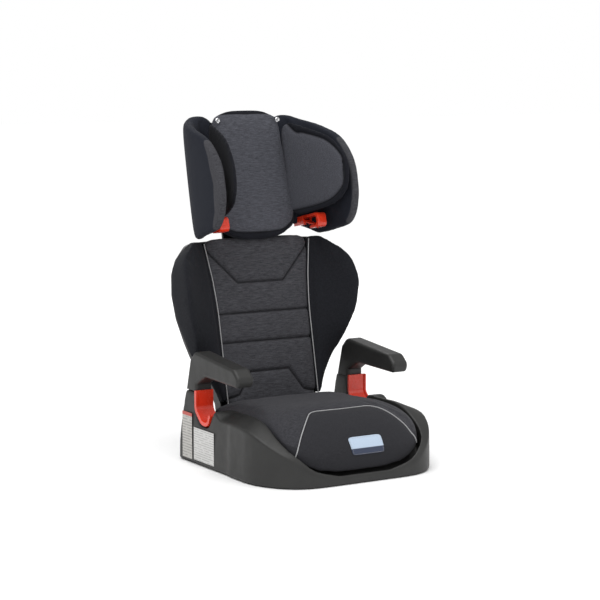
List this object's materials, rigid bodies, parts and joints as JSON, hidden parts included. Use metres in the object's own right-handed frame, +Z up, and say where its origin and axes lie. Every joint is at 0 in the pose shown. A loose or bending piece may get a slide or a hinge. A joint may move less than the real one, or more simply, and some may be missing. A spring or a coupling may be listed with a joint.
{
  "type": "child booster seat",
  "caption": "High-back child booster seat: padded seat on a moulded base with armrests, reclining backrest, height-adjustable winged headrest and belt guides.",
  "frame": {"origin": "on the ground under the middle of the base, on the flat underside", "axes": "+Z up, -Y the way the child faces, +X to the child's left"},
  "size_m": [0.444, 0.529, 0.7504],
  "materials": {
    "shell_plastic": "fine moulded grain, warm black",
    "guide_plastic": "glossy red",
    "melange_fabric": "charcoal melange weave",
    "bolster_fabric": "near-black knitted fabric",
    "foam": "moulded bead foam",
    "steel": "zinc plated",
    "stud_metal": "nickel plated",
    "label_film": null,
    "badge_woven": "two-tone woven badge, no lettering",
    "grip_rubber": "matt black"
  },
  "bodies": {
    "base": {"base_shell": "shell_plastic", "bottom_cover": "shell_plastic", "anti_slip_pads": "grip_rubber", "bottom_screws": "steel", "armrest_screws": "steel", "armrest_left": "shell_plastic", "armrest_right": "shell_plastic", "lap_belt_guide_left": "guide_plastic", "lap_belt_guide_right": "guide_plastic", "seat_foam_core": "foam", "seat_cushion": "melange_fabric", "front_badge": "badge_woven", "side_label_small": "label_film", "side_label_large": "label_film", "hinge_bracket_left": "shell_plastic", "hinge_bracket_right": "shell_plastic", "hinge_pin": "steel"},
    "backrest": {"back_center_pad": "melange_fabric", "back_wing_pad_left": "bolster_fabric", "back_wing_pad_right": "bolster_fabric", "back_shell": "shell_plastic", "height_rack": "shell_plastic"},
    "headrest": {"headrest_slider": "shell_plastic", "headrest_shell": "shell_plastic", "headrest_foam_core": "foam", "headrest_center_pad": "melange_fabric", "headrest_wing_pad_left": "bolster_fabric", "headrest_wing_pad_right": "bolster_fabric", "headrest_cheek_pad_left": "melange_fabric", "headrest_cheek_pad_right": "melange_fabric", "shoulder_belt_guide_left": "guide_plastic", "shoulder_belt_guide_right": "guide_plastic", "gate_pin_left": "steel", "gate_pin_right": "steel", "stud_left": "stud_metal", "stud_right": "stud_metal", "slider_screws": "steel", "lever_pin": "steel", "lever_spring": "steel"},
    "lever": {"height_lever": "shell_plastic"},
    "rod": {"release_rod": "shell_plastic"},
    "bolt": {"latch_bolt": "shell_plastic"},
    "gate_left": {"belt_gate_left": "guide_plastic"},
    "gate_right": {"belt_gate_right": "guide_plastic"}
  },
  "joints": [
    {"name": "backrest_recline", "type": "hinge", "parent": "base", "child": "backrest", "pos_m": [0, 0.185, 0.075], "axis": [-1, 0, 0], "range_deg": [0, 16]},
    {"name": "headrest_height", "type": "slide", "parent": "backrest", "child": "headrest", "axis": [0, 0.2062, 0.9785], "range_m": [0, 0.15]},
    {"name": "lever_pull", "type": "hinge", "parent": "headrest", "child": "lever", "pos_m": [0, 0.29201, 0.5246], "axis": [-1, 0, 0], "range_deg": [0, 25], "stiffness_Nm_per_rad": 0.3, "springref_deg": -11.46},
    {"name": "rod_lift", "type": "slide", "parent": "headrest", "child": "rod", "axis": [0, 0.2062, 0.9785], "range_m": [0, 0.0061]},
    {"name": "bolt_release", "type": "slide", "parent": "headrest", "child": "bolt", "axis": [0, -0.9785, 0.2062], "range_m": [0, 0.0046]},
    {"name": "gate_left_open", "type": "hinge", "parent": "headrest", "child": "gate_left", "pos_m": [0.123, 0.22958, 0.49994], "axis": [-1, 0, 0], "range_deg": [0, 15], "stiffness_Nm_per_rad": 0.02, "springref_deg": -17.19},
    {"name": "gate_right_open", "type": "hinge", "parent": "headrest", "child": "gate_right", "pos_m": [-0.123, 0.22958, 0.49994], "axis": [-1, 0, 0], "range_deg": [0, 15], "stiffness_Nm_per_rad": 0.02, "springref_deg": -17.19}
  ],
  "couplings": [
    {"joint": "rod_lift", "follows": "lever_pull", "m_per_rad": 0.013751},
    {"joint": "bolt_release", "follows": "lever_pull", "m_per_rad": 0.010313}
  ]
}
